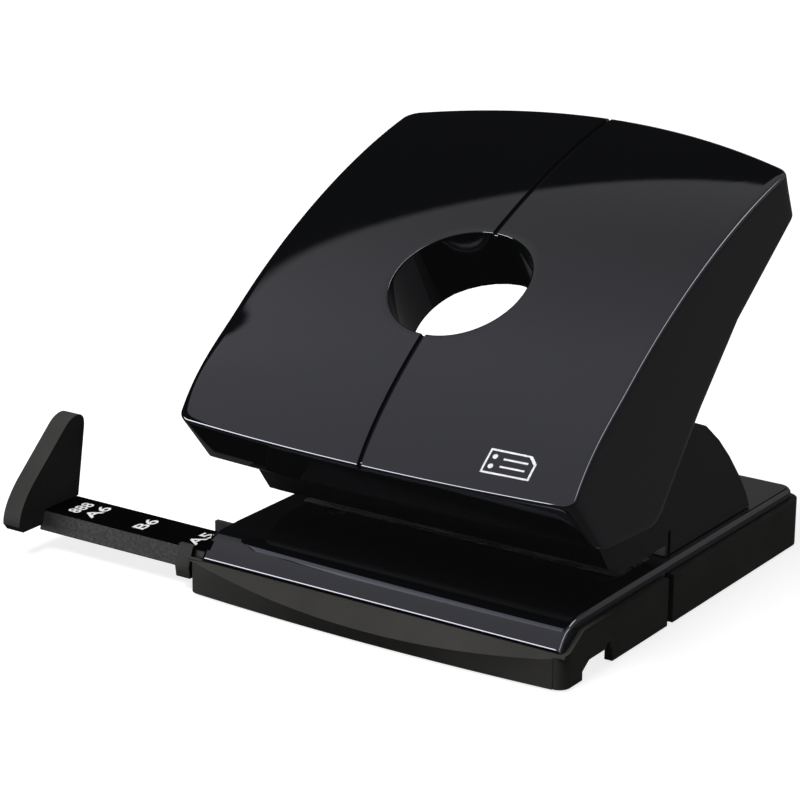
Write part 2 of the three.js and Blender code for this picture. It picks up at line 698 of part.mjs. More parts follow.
// A pin is as long as one pair of knuckles and the tray's knuckle between them.
const trayPin = (side) => {
  const [a, b] = mirrored([PAN_KNUCKLES[0][0], PAN_KNUCKLES[1][1]], side);
  return rodX(TRAY_HINGE.pinR, a, b, TRAY_HINGE.y, TRAY_HINGE.z, 16);
};

// ---- rubber strips under the base ---------------------------------------------------------------------
const STRIPS = {
  front: { halfLength: 33, y: 12, halfWidth: 3 },
  middle: { halfLength: 34, y: FOOTPRINT_MID, halfWidth: 2.6 },
  rear: { halfLength: 34, y: 108, halfWidth: 3 },
};
const STRIP_TOP = 1.2;
function stripSolid({ halfLength, y, halfWidth }, extra) {
  const [x, dy] = [halfLength + extra, halfWidth + extra];
  return block(-x, x, y - dy, y + dy, -extra, STRIP_TOP + extra);
}

function baseScrew(side, y) {
  const { headR, shankR, bottom, shoulder, tip } = SCREW;
  const profile = [
    [0, bottom],
    [headR, bottom],
    [headR, shoulder],
    [shankR, shoulder],
    [shankR, tip],
    [0, tip],
  ];
  return turned(profile, side * SCREW.x, y);
}

// ---- paper guide --------------------------------------------------------------------------------------
const RAIL_OUTLINE = [
  [2.3, 5.6],
  [5.6, 5.6],
  [7, 7.8],
  [17.2, 7.8],
  [17.2, RAIL.top],
  [3.7, RAIL.top],
];
const RAIL_SPACE = [
  [1.9, 5.2],
  [5.8, 5.2],
  [7.2, 7.4],
  [17.6, 7.4],
  [17.6, RAIL.top + 0.4],
  [3.4, RAIL.top + 0.4],
];
const CHANNEL = { rear: 18.8, top: 13.2, left: -52.4, right: 50 };
const CHANNEL_OUTLINE = [
  [6.1, RAIL.top + 0.4],
  [17.6, RAIL.top + 0.4],
  [17.6, 6.6],
  [CHANNEL.rear, 6.6],
  [CHANNEL.rear, CHANNEL.top],
  [6.1, CHANNEL.top],
];
const COLLAR = { left: -60.6, rimTop: 11.7 };
const COLLAR_OUTLINE = [
  [1.4, 3.4],
  [9, 3.4],
  [9, 6.3],
  [CHANNEL.rear, 6.3],
  [CHANNEL.rear, CHANNEL.top],
  [17.4, CHANNEL.top],
  [17.4, COLLAR.rimTop],
  [2.8, COLLAR.rimTop],
  [0.9, 6.6],
];

const guideRail = () => prism(RAIL_OUTLINE, RAIL.left, RAIL.right);

// The collar outside the base is open on top, so that the marks on the rail can be read at its edge.
function railChannel() {
  const { left, right, rear, top } = CHANNEL;
  const collar = prism(COLLAR_OUTLINE, COLLAR.left, -BASE_LEFT - GAP);
  const link = block(-BASE_LEFT - 1, left + 1, 17.6, rear, 6.6, top);
  const openTop = block(COLLAR.left - 1, left, 3.9, 17.6, RAIL.top, top + 1);
  const leafSpan = [LEAF.left - GAP, LEAF.right + GAP, LEAF.front - 0.5, LEAF.rear + 0.5];
  const leafWindow = block(...leafSpan, RAIL.top - 1, top + 1);
  const railSpace = prism(RAIL_SPACE, COLLAR.left - 1, right + 1);
  const body = prism(CHANNEL_OUTLINE, left, right).add(collar).add(link);
  return body.subtract(railSpace).subtract(openTop).subtract(leafWindow);
}

// Upright stop on the end of the rail, with a sloping front edge.
function guideStop() {
  const side = new THREE.Shape();
  side.moveTo(-5.2, 7.2);
  side.lineTo(16.4, 7.2);
  side.lineTo(20, 29);
  side.quadraticCurveTo(20.6, 33, 17.4, 33);
  side.quadraticCurveTo(14.6, 33, 12.2, 30.8);
  side.lineTo(-0.6, 19.4);
  side.quadraticCurveTo(-6.6, 13.6, -6.6, 9);
  const left = RAIL.stop - RAIL.fin;
  return prism(side, left, RAIL.stop).subtract(prism(RAIL_SPACE, RAIL.left - GAP, 0));
}

// Thin leaf that presses on the rail and holds it where it is put.
const guideSpring = () => block(LEAF.left, LEAF.right, LEAF.front, LEAF.rear, LEAF.bottom, LEAF.bottom + 0.4);

// ---- assembly -----------------------------------------------------------------------------------------
const SIDES = { left: -1, right: 1 };
const punch = new THREE.Group();
const assembly = new THREE.Group();
assembly.position.y = -FOOTPRINT_MID;
punch.add(assembly);

function groupOf(...meshes) {
  const group = new THREE.Group();
  group.add(...meshes);
  assembly.add(group);
}

// fixed to the base
groupOf(
  meshOf("base_pan", basePan(), MATTE_BLACK),
  meshOf("platform_cover", platformCover(), GLOSS_BLACK),
  meshOf("die_plate", diePlate(), STEEL),
  meshOf("tower_housing", towerHousing(), SATIN_BLACK),
  meshOf("pivot_axle", groovedShaft(PIVOT), STEEL),
  meshOf("rail_channel", railChannel(), SATIN_BLACK),
  meshOf("grip_strip_middle", stripSolid(STRIPS.middle, 0), RUBBER),
  meshOf("grip_strip_rear", stripSolid(STRIPS.rear, 0), RUBBER),
);
for (const [name, side] of Object.entries(SIDES)) {
  groupOf(
    meshOf("axle_clip_" + name, clip(PIVOT, side), SPRING_STEEL),
    meshOf("punch_guide_" + name, punchGuide(side), STEEL),
    meshOf("return_spring_" + name, returnSpring(side), SPRING_STEEL),
    meshOf("tray_hinge_pin_" + name, trayPin(side), STEEL),
    meshOf("base_screw_front_" + name, baseScrew(side, SCREW.ys[0]), STEEL),
    meshOf("base_screw_rear_" + name, baseScrew(side, SCREW.ys[1]), STEEL),
  );
}

// the two punches
for (const [name, side] of Object.entries(SIDES)) {
  groupOf(
    meshOf("punch_pin_" + name, punchPin(side), STEEL),
    meshOf("spring_washer_" + name, springWasher(side), SPRING_STEEL),
  );
}

// the handle and what is fixed to it
groupOf(
  meshOf("handle_shell", handleShell(), GLOSS_BLACK),
  meshOf("handle_liner", handleLiner(), SATIN_BLACK),
  meshOf("lever_frame", leverFrame(), STEEL),
  meshOf("press_bar", groovedShaft(PRESS_BAR), STEEL),
  ...HANDLE_SCREWS.map((at, i) => meshOf("handle_screw_" + (i + 1), handleScrew(at), STEEL)),
);
for (const [name, side] of Object.entries(SIDES)) {
  groupOf(
    meshOf("press_cap_" + name, pressCap(side), NYLON),
    meshOf("press_bar_clip_" + name, clip(PRESS_BAR, side), SPRING_STEEL),
  );
}

// the chip tray
groupOf(
  meshOf("chip_tray", chipTray(), MATTE_BLACK),
  meshOf("grip_strip_front", stripSolid(STRIPS.front, 0), RUBBER),
);

// the paper guide
groupOf(
  meshOf("guide_rail", guideRail(), SATIN_BLACK),
  meshOf("guide_stop", guideStop(), SATIN_BLACK),
);
assembly.add(meshOf("guide_spring", guideSpring(), SPRING_STEEL));

export default punch;
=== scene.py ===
# Looks of the desk hole punch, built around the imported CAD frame. The frame is in metres. The shapes below
# are in the part's drawing: millimetres, with y counted from the platform's front edge; at() places them.
import json
import math

import bmesh
import bpy
import numpy as np
from mathutils import Matrix, Vector

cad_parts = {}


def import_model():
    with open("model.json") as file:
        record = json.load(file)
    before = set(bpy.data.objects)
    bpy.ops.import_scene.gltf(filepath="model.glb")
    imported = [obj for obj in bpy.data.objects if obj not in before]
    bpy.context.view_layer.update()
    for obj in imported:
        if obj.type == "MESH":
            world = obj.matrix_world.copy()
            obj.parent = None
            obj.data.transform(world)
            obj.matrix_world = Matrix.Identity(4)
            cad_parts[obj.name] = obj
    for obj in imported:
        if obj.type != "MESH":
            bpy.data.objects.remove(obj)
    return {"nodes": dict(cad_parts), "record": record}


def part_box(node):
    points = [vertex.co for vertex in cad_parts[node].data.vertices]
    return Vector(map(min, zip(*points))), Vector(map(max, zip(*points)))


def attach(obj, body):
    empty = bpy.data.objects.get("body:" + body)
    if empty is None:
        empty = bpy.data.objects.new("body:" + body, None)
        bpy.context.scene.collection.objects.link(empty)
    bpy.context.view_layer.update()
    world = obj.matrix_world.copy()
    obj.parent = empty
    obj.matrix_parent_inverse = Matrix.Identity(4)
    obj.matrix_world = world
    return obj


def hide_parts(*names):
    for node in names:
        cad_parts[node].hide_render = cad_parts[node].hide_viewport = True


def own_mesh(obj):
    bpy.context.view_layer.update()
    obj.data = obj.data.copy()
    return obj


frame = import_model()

MM = 0.001
WELD_PIECE = 1e-6  # points of a piece nearer than this are one point, in metres
WELD_NODE = 2e-6  # the same for a CAD node
SHARP = math.radians(32)  # faces that meet at more than this have an edge between them
BEVEL_SEGMENTS = 3


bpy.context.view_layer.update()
BOX = {name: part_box(name) for name in frame["nodes"]}


# ---- mesh helpers -----------------------------------------------------------------------------------
def link(obj):
    bpy.context.scene.collection.objects.link(obj)
    return obj


def new_piece(name, verts, faces, material, body, replaces=()):
    """A mesh piece from points in metres that rides on a CAD body and stands for CAD nodes."""
    mesh = bpy.data.meshes.new(name)
    mesh.from_pydata([tuple(v) for v in verts], [], faces)
    mesh.validate()
    obj = link(bpy.data.objects.new(name, mesh))
    return dress(obj, material, body, replaces)


def dress(obj, material, body, replaces=()):
    """Gives a piece its material, its body and the CAD nodes that it stands for."""
    obj.data.materials.clear()
    obj.data.materials.append(material)
    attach(obj, body)
    if replaces:
        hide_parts(*replaces)
    return obj


def outward(obj):
    """Welds a mesh's double points and turns its faces outwards."""
    bm = bmesh.new()
    bm.from_mesh(obj.data)
    bmesh.ops.remove_doubles(bm, verts=bm.verts, dist=WELD_PIECE)
    bmesh.ops.recalc_face_normals(bm, faces=bm.faces)
    bm.to_mesh(obj.data)
    bm.free()


def smooth(obj, angle):
    """Smooth shading, with sharp edges kept where faces meet at more than an angle in degrees."""
    obj.data.polygons.foreach_set("use_smooth", [True] * len(obj.data.polygons))
    obj.data.update()
    with bpy.context.temp_override(object=obj, active_object=obj, selected_editable_objects=[obj]):
        bpy.ops.object.shade_smooth_by_angle(angle=math.radians(angle))


def bevel(obj, width):
    """Rounds a mesh's sharp edges by a width in millimetres."""
    mod = obj.modifiers.new("bevel", "BEVEL")
    mod.width = width * MM
    mod.segments = BEVEL_SEGMENTS
    mod.limit_method = "ANGLE"
    mod.angle_limit = SHARP
    mod.miter_outer = "MITER_ARC"
    mod.harden_normals = False


# ---- materials --------------------------------------------------------------------------------------
WORN_COSINES = (0.8, 0.995)  # between the flat and the rounded normal: fully worn, not worn


class Nodes:
    """A short way to write a material's node tree."""

    def __init__(self, name):
        self.material = bpy.data.materials.new(name)
        self.material.use_nodes = True
        self.tree = self.material.node_tree
        self.shader = self.tree.nodes["Principled BSDF"]
        self.place = self.add("ShaderNodeTexCoord").outputs["Object"]

    def add(self, kind, **values):
        node = self.tree.nodes.new(kind)
        for key, value in values.items():
            if key in node.inputs:
                node.inputs[key].default_value = value
            else:
                setattr(node, key, value)
        return node

    def join(self, output, target):
        self.tree.links.new(output, target)

    def noise(self, scale, detail=4.0, stretch=(1, 1, 1)):
        mapping = self.add("ShaderNodeMapping")
        mapping.inputs["Scale"].default_value = stretch
        self.join(self.place, mapping.inputs["Vector"])
        noise = self.add("ShaderNodeTexNoise", Scale=scale, Detail=detail)
        self.join(mapping.outputs["Vector"], noise.inputs["Vector"])
        return noise.outputs["Fac"]

    def between(self, source, low, high, from_low=0.3, from_high=0.7):
        ramp = self.add("ShaderNodeMapRange")
        ramp.inputs["From Min"].default_value = from_low
        ramp.inputs["From Max"].default_value = from_high
        ramp.inputs["To Min"].default_value = low
        ramp.inputs["To Max"].default_value = high
        self.join(source, ramp.inputs["Value"])
        return ramp.outputs["Result"]

    def blend(self, factor, a, b):
        """From colour a to colour b; a may also be another node's output."""
        mix = self.add("ShaderNodeMix", data_type="RGBA")
        a_input, b_input = [s for s in mix.inputs if s.type == "RGBA"]
        if isinstance(a, tuple):
            a_input.default_value = (*a, 1)
        else:
            self.join(a, a_input)
        b_input.default_value = (*b, 1)
        self.join(factor, mix.inputs["Factor"])
        return next(s for s in mix.outputs if s.type == "RGBA")

    def plus(self, a, b):
        total = self.add("ShaderNodeMath", operation="ADD")
        self.join(a, total.inputs[0])
        self.join(b, total.inputs[1])
        return total.outputs[0]

    def edge_wear(self, radius, strength):
        """0 on flat faces, up to strength on edges."""
        geometry = self.add("ShaderNodeNewGeometry")
        rounded = self.add("ShaderNodeBevel", samples=4)
        rounded.inputs["Radius"].default_value = radius * MM
        dot = self.add("ShaderNodeVectorMath", operation="DOT_PRODUCT")
        self.join(geometry.outputs["Normal"], dot.inputs[0])
        self.join(rounded.outputs["Normal"], dot.inputs[1])
        return self.between(dot.outputs["Value"], strength, 0.0, *WORN_COSINES)

    def bump(self, height, distance, strength=1.0):
        node = self.add("ShaderNodeBump", Strength=strength, Distance=distance * MM)
        self.join(height, node.inputs["Height"])
        self.join(node.outputs["Normal"], self.shader.inputs["Normal"])

    def finish(self, color, roughness, **values):
        self.join(color, self.shader.inputs["Base Color"])
        self.join(roughness, self.shader.inputs["Roughness"])
        for key, value in values.items():
            self.shader.inputs[key.replace("_", " ")].default_value = value
        return self.material


GLOSS_PAINTED_GLOW = 0.0024  # painted light: a faint glow of the gloss itself, which lifts its shaded parts out of full black


def gloss_plastic():
    """Polished black ABS: faint orange peel, hair-fine wipe marks, slightly duller edges, and a faint
    painted glow.
    """
    n = Nodes("gloss_black_plastic")
    wipe = n.noise(900, 6, (1, 0.06, 0.06))
    color = n.blend(n.noise(35, 3), (0.0008, 0.0009, 0.0013), (0.0014, 0.0015, 0.0020))
    n.bump(n.noise(160, 2), 0.003, 0.3)
    rough = n.plus(n.between(wipe, 0.02, 0.04), n.edge_wear(0.5, 0.05))
    # painted light: the plastic glows faintly, so that its shade never goes fully black
    n.shader.inputs["Emission Color"].default_value = (0.94, 0.97, 1.0, 1)
    n.shader.inputs["Emission Strength"].default_value = GLOSS_PAINTED_GLOW
    return n.finish(color, rough, IOR=1.52, Specular_Tint=(0.85, 0.855, 1.0, 1))


def satin_plastic():
    """Fine spark-eroded black plastic with a low sheen."""
    n = Nodes("satin_black_plastic")
    grain = n.noise(3200, 3)
    patches = n.between(n.noise(60, 3), 0, 1)
    color = n.blend(patches, (0.0062, 0.0058, 0.0072), (0.0095, 0.0090, 0.0108))
    color = n.blend(n.edge_wear(0.4, 0.6), color, (0.022, 0.021, 0.023))
    n.bump(grain, 0.012, 0.5)
    return n.finish(color, n.between(grain, 0.36, 0.48), IOR=1.5, Specular_IOR_Level=0.28)


def matte_plastic():
    """Coarser grained black plastic of the base, with a warm grey cast and rubbed edges."""
    n = Nodes("matte_black_plastic")
    grain = n.noise(2000, 4)
    patches = n.between(n.noise(45, 4), 0, 1)
    color = n.blend(patches, (0.0350, 0.0341, 0.0327), (0.0500, 0.0487, 0.0464))
    color = n.blend(n.edge_wear(0.5, 0.8), color, (0.045, 0.044, 0.041))
    n.bump(grain, 0.02, 0.6)
    return n.finish(color, n.between(grain, 0.55, 0.68), IOR=1.48, Specular_IOR_Level=0.04)


def guide_plastic():
    """Grained grey-black plastic of the paper guide."""
    n = Nodes("guide_black_plastic")
    grain = n.noise(1500, 5)
    patches = n.between(n.noise(70, 4), 0, 1)
    color = n.blend(patches, (0.0310, 0.0303, 0.0297), (0.0460, 0.0450, 0.0440))
    color = n.blend(n.edge_wear(0.5, 0.6), color, (0.038, 0.037, 0.036))
    n.bump(grain, 0.03, 0.7)
    return n.finish(color, n.between(grain, 0.5, 0.64), IOR=1.48, Specular_IOR_Level=0.05)


def scale_plastic():
    """The rail: grained plastic whose top, where its scale is printed, is smoother and carries painted
    shade, a much darker colour.
    """
    n = Nodes("rail_black_plastic")
    grain = n.noise(1500, 5)
    normal = n.add("ShaderNodeSeparateXYZ")
    n.join(n.add("ShaderNodeNewGeometry").outputs["Normal"], normal.inputs[0])
    top = n.between(normal.outputs["Z"], 0.0, 1.0, 0.85, 0.97)
    patches = n.between(n.noise(70, 4), 0, 1)
    color = n.blend(patches, (0.0105, 0.0103, 0.0102), (0.0165, 0.0162, 0.0160))
    # painted shade: faces that look up, the rail's flat top, get a much darker colour
    color = n.blend(top, color, (0.0010, 0.0010, 0.0012))
    n.bump(grain, 0.02, 0.5)
    smooth_top = n.add("ShaderNodeMix", data_type="FLOAT")
    n.join(top, smooth_top.inputs["Factor"])
    n.join(n.between(grain, 0.42, 0.58), smooth_top.inputs["A"])
    smooth_top.inputs["B"].default_value = 0.22
    return n.finish(color, smooth_top.outputs["Result"], IOR=1.48, Specular_IOR_Level=0.08)


def steel(name, color, dark, roughness, stretch):
    """Metal with fine drawing or rolling lines along one direction and darker, stained patches."""
    n = Nodes(name)
    lines = n.noise(1400, 5, stretch)
    tint = n.blend(n.between(n.noise(90, 5), 0, 1), color, dark)
    n.bump(lines, 0.004, 0.5)
    return n.finish(tint, n.between(lines, roughness - 0.07, roughness + 0.1), Metallic=1.0)


def rubber():
    """Dusty black rubber."""
    n = Nodes("black_rubber")
    speckle = n.noise(1500, 5)
    dust = n.between(n.noise(70, 6), 0, 1, 0.4, 0.75)
    color = n.blend(dust, (0.010, 0.010, 0.010), (0.034, 0.033, 0.031))
    n.bump(speckle, 0.03, 0.7)
    return n.finish(color, n.between(speckle, 0.78, 0.95), IOR=1.45)


def nylon():
    """Natural nylon, slightly cloudy."""
    n = Nodes("natural_nylon")
    cloud = n.noise(220, 4)
    color = n.blend(n.between(cloud, 0, 1), (0.60, 0.58, 0.52), (0.74, 0.72, 0.66))
    n.bump(n.noise(900, 3), 0.008, 0.4)
    return n.finish(color, n.between(cloud, 0.38, 0.52), Subsurface_Weight=0.1)


def ink():
    """Thin white print with slightly uneven cover."""
    n = Nodes("white_print")
    thin = n.noise(1300, 5)
    color = n.blend(n.between(thin, 0, 1, 0.25, 0.6), (0.62, 0.62, 0.63), (0.90, 0.90, 0.90))
    n.bump(thin, 0.004, 0.3)
    return n.finish(color, n.between(thin, 0.4, 0.55))


GLOSS = gloss_plastic()
SATIN = satin_plastic()
MATTE = matte_plastic()
GUIDE = guide_plastic()
RAIL = scale_plastic()
STEEL = steel("zinc_plated_steel", (0.55, 0.56, 0.57), (0.42, 0.43, 0.45), 0.30, (0.05, 1, 1))
SPRING = steel("spring_steel", (0.42, 0.43, 0.44), (0.30, 0.30, 0.32), 0.26, (1, 1, 1))
RUBBER = rubber()
NYLON = nylon()
INK = ink()

# ---- the part's drawing frame -----------------------------------------------------------------------
FRONT = BOX["platform_cover"][0].y  # y of the platform's front edge


def at(x, y, z):
    """A point from the drawing's millimetres, y counted from the platform's front edge."""
    return Vector((x * MM, FRONT + y * MM, z * MM))


def drawn(node):
    """A node's box in the drawing's millimetres."""
    low, high = BOX[node]
    shift = Vector((0, FRONT, 0))
    return (low - shift) / MM, (high - shift) / MM


# ---- handle shell -----------------------------------------------------------------------------------
SHELL_LOW, SHELL_HIGH = drawn("handle_shell")
HALF = SHELL_HIGH.x
LENGTH = SHELL_HIGH.y - SHELL_LOW.y
WALL = 2.6
CROWN = {"front": 3.1, "rear": 4.4, "run": 28.0}  # fall at the sides; it grows over a run from the front
BOW = {"front": 3.5, "rear": 10.0}  # how far the middle of each end stands out
REAR_IN = 6.4  # the top ends this far in front of the shell's rearmost line
# (y, z) of the four points of the top's side view, a cubic Bezier curve
CURVE = np.array([[SHELL_LOW.y, 46.8], [8.0, 70.4], [58.0, 99.2], [SHELL_HIGH.y - REAR_IN, SHELL_HIGH.z]])
GRIP_R = 18.0  # the grip hole and the tube under it
GRIP_RIM = 0.5  # rounding of its rim
GRIP_WALL = 1.6
GRIP_DEPTH = 19.5
GRIP_TILT = math.radians(32.8)
GRIP_AXIS = np.array([0, -math.sin(GRIP_TILT), math.cos(GRIP_TILT)])
GRIP_ALONG = np.array([0, math.cos(GRIP_TILT), math.sin(GRIP_TILT)])
GRIP_CENTRE = np.array([0, 36.3, 81.8])
ACROSS = np.array([1.0, 0, 0])
HALVINGS = 30  # steps of the search along the top
# (y, z) of the lower edge of the shell's sides, front to rear
UNDER = np.array(
    [
        [6.9, 33.8],
        [11.7, 32.4],
        [37.4, 31.1],
        [41.2, 33.3],
        [60.5, 54.5],
        [80.7, 72.9],
        [98.6, 84.5],
        [SHELL_HIGH.y, 93.6],
    ]
)
UNDER_RUN = np.concatenate([[0], np.cumsum(np.hypot(*np.diff(UNDER, axis=0).T))])


def unit(v):
    return v / np.linalg.norm(v)


def bow(x, y):
    """Both ends of the handle bow outwards in the middle."""
    along = (y - SHELL_LOW.y) / LENGTH
    return y + (x / HALF) ** 2 * (BOW["front"] * (1 - along) - BOW["rear"] * along)


def top_point(x, u, depth=0.0):
    """A point of the handle's top, moved in by a depth; u is 0 at the front edge and 1 at the rear."""
    y, z = np.array([(1 - u) ** 3, 3 * (1 - u) ** 2 * u, 3 * (1 - u) * u**2, u**3]) @ CURVE
    along = (y - SHELL_LOW.y) / LENGTH
    t = min(max((y - SHELL_LOW.y) / CROWN["run"], 0.0), 1.0)
    fall = (CROWN["front"] + (CROWN["rear"] - CROWN["front"]) * along) * t * t * (3 - 2 * t)
    point = np.array([x, bow(x, y), z - fall * (x / HALF) ** 2])
    return point - depth * top_normal(x, u) if depth else point


def top_normal(x, u):
    """The top's outward direction at a point."""
    step = 1e-3
    along_x = top_point(x + step, u) - top_point(x - step, u)
    along_u = top_point(x, u + step) - top_point(x, u - step)
    return unit(np.cross(along_x, along_u))


def u_where(x, across, depth=0.0):
    """The u whose surface point lies a distance 'across' from the grip hole's axis, up the slope."""
    low, high = 0.0, 1.0
    for _ in range(HALVINGS):
        u = (low + high) / 2
        if (top_point(x, u, depth) - GRIP_CENTRE) @ GRIP_ALONG < across:
            low = u
        else:
            high = u
    return (low + high) / 2


def u_at_length(length):
    """The u at an arc length from the front edge, along the middle."""
    u, run, step = 0.0, 0.0, 0.001
    while run < length:
        run += np.linalg.norm(top_point(0, u + step) - top_point(0, u))
        u += step
    return u


# The shell is one closed skin of rays round the grip hole. Each ray runs from the hole over the top, round
# the edge, down the side, under the rim and back along the inside.
GROOVE_HALF = 0.6  # half its width
GROOVE_DEPTH = 1.0
GROOVE_RIM_SHARE, GROOVE_ROUND_SHARE = 0.8, 0.9  # of its depth, on the hole's rim and the edge's rounding
# x of the rays that cross the front groove
GROOVE_RAYS = [-2.2, -0.85, -0.7, -0.5, 0.0, 0.5, 0.7, 0.85, 2.2]
END_RAYS, CORNER_RAYS, SIDE_RAYS = 26, 6, 42
CORNER = 2.4  # radius of the top's corners, seen from above
CORNER_FROM, CORNER_SHARE = 0.96, 0.08  # where a front corner's rays start, and what they take
SIDE_SHORT = 0.03  # angle that the side's rays leave to the rear corner
REAR_CORNER_FROM, REAR_CORNER_SHARE = 0.02, 0.04
TOP_RUN = 128.0  # length of the top's middle line
SPREAD = math.radians(52)  # where the side's rays leave the grip hole
SIDE_ROUND, FRONT_ROUND, REAR_ROUND = 1.0, 1.0, 2.0
RIM_STEPS, TOP_STEPS, ROUND_STEPS, INNER_STEPS = 4, 30, 6, 8
TUBE_LIP = 0.4  # chamfer at the tube's lower end
TUBE_AT = (0.3, 0.6, 0.85, 0.97)  # shares of the tube's height with a ring of points
WALL_AT = (0.06, 0.3, 0.55, 0.8, 0.96, 1.0)  # the same for the outer wall
INNER_WALL_AT = (0.35, 0.7, 1.0)
FOOT = 0.7  # rounding under the wall
FOOT_CUT = 0.2
INNER_FOOT = 0.5
INNER_GAP = 0.2
FRONT_IN = 0.8  # share of the front rounding that the top gives up
INNER_FRONT, INNER_REAR = 3.2, 0.02  # where the inside starts, in mm from the front, and ends, as a share
SHELL_SHARP = 38  # degrees


def boundary_rays(inset, front_in, rear_in):
    """(x, u, hole angle) of each ray where it leaves the top, anticlockwise from the front groove's left."""
    u0, u1 = front_in, 1.0 - rear_in
    w = HALF - inset
    du = CORNER / TOP_RUN
    reach = GRIP_R + GRIP_RIM
    start_x = GROOVE_RAYS[-1]
    groove_angle = math.acos(start_x / reach)
    right = []
    for i in range(1, END_RAYS):
        t = i / END_RAYS
        angle = -groove_angle + (groove_angle - SPREAD) * t * CORNER_FROM
        right.append((start_x + (w - CORNER - start_x) * t, u0, angle))
    for i in range(CORNER_RAYS):
        t = i / (CORNER_RAYS - 1)
        a = math.pi / 2 * t
        angle = -groove_angle + (groove_angle - SPREAD) * (CORNER_FROM + CORNER_SHARE * t)
        right.append((w - CORNER + CORNER * math.sin(a), u0 + du * (1 - math.cos(a)), angle))
    start = right[-1][2]
    for i in range(1, SIDE_RAYS):
        t = i / SIDE_RAYS
        right.append((w, u0 + du + (u1 - u0 - 2 * du) * t, start + (SPREAD - SIDE_SHORT - start) * t))
    start = right[-1][2]
    for i in range(CORNER_RAYS):
        t = i / (CORNER_RAYS - 1)
        a = math.pi / 2 * t
        angle = start + REAR_CORNER_FROM + REAR_CORNER_SHARE * t
        right.append((w - CORNER + CORNER * math.cos(a), u1 - du * (1 - math.sin(a)), angle))
    start = right[-1][2]
    for i in range(1, END_RAYS):
        t = i / END_RAYS
        right.append((w - CORNER + (start_x - (w - CORNER)) * t, u1, start + (groove_angle - start) * t))
    front = [(x, u0, -math.acos(x / reach)) for x in GROOVE_RAYS]
    rear = [(-x, u1, math.acos(-x / reach)) for x in GROOVE_RAYS]
    left = [(-x, u, math.pi - angle) for x, u, angle in reversed(right)]
    return front + right + rear + left


def groove_depth(x):
    """Depth of the fine groove down the middle of the handle."""
    return GROOVE_DEPTH if abs(x) < GROOVE_HALF else 0.0


def rounding(start, out, down, radius, turn, steps):
    """Points of a round that leaves a surface's edge along 'out' and turns towards 'down'."""
    angles = [turn * (i + 1) / steps for i in range(steps)]
    return [start + radius * (math.sin(a) * out + (1 - math.cos(a)) * down) for a in angles]


def shell_ray(ray, inside, share, edge, normal, out, low, wall):
    """One ray of the shell, as a closed run of points."""
    x, u, angle = ray
    spoke = math.cos(angle) * ACROSS + math.sin(angle) * GRIP_ALONG
    reach = GRIP_R + GRIP_RIM
    hole_x = reach * math.cos(angle)
    u_hole = u_where(hole_x, reach * math.sin(angle))
    lip = top_point(hole_x, u_hole)
    tube_end = GRIP_CENTRE - GRIP_AXIS * GRIP_DEPTH
    groove = groove_depth(x)
    # up the tube and over its lip
    points = [tube_end + spoke * (GRIP_R + TUBE_LIP), tube_end + spoke * GRIP_R + GRIP_AXIS * TUBE_LIP]
    rim = rounding(lip, -spoke, -GRIP_AXIS, GRIP_RIM, math.pi / 2, RIM_STEPS)
    for t in TUBE_AT:
        points.append((tube_end + spoke * GRIP_R) * (1 - t) + rim[-1] * t)
    points += [p - groove * GROOVE_RIM_SHARE * GRIP_AXIS for p in reversed(rim)]
    # over the top
    for i in range(TOP_STEPS):
        t = i / TOP_STEPS
        points.append(top_point(hole_x * (1 - t) + x * t, u_hole * (1 - t) + u * t, groove))
    points.append(edge - groove * normal)
    # round the edge, down the wall and under it
    end_round = FRONT_ROUND if share < 0.5 else REAR_ROUND
    sideways = out[0] ** 2
    radius = SIDE_ROUND * sideways + end_round * (1 - sideways)
    towards = low - (edge + radius * out)
    turn = math.atan2(-(towards @ normal), towards @ out)
    edge_round = rounding(edge, out, -normal, radius, turn, ROUND_STEPS)
    points += [p - GROOVE_ROUND_SHARE * groove * unit(normal + out) for p in edge_round]
    start = edge_round[-1]
    down = unit(low - start)
    foot = low - down * FOOT
    points += [start * (1 - t) + foot * t for t in WALL_AT]
    inner_foot = low - wall * WALL - down * INNER_FOOT
    points += [low - down * FOOT_CUT - wall * FOOT_CUT, low - wall * FOOT]
    points += [low - wall * (WALL - INNER_FOOT), inner_foot]
    # back along the inside to the outside of the tube
    in_x, in_u, _ = inside
    top_in = top_point(in_x, in_u, WALL)
    points += [inner_foot * (1 - t) + top_in * t for t in INNER_WALL_AT]
    outer = GRIP_R + GRIP_WALL
    tube_x = outer * math.cos(angle)
    u_tube = u_where(tube_x, outer * math.sin(angle), WALL)
    for i in range(1, INNER_STEPS + 1):
        t = i / INNER_STEPS
        points.append(top_point(in_x * (1 - t) + tube_x * t, in_u * (1 - t) + u_tube * t, WALL))
    points.append((points[-1] + tube_end + spoke * outer) / 2)
    points.append(tube_end + spoke * outer + GRIP_AXIS * TUBE_LIP)
    points.append(tube_end + spoke * (outer - TUBE_LIP))
    return points


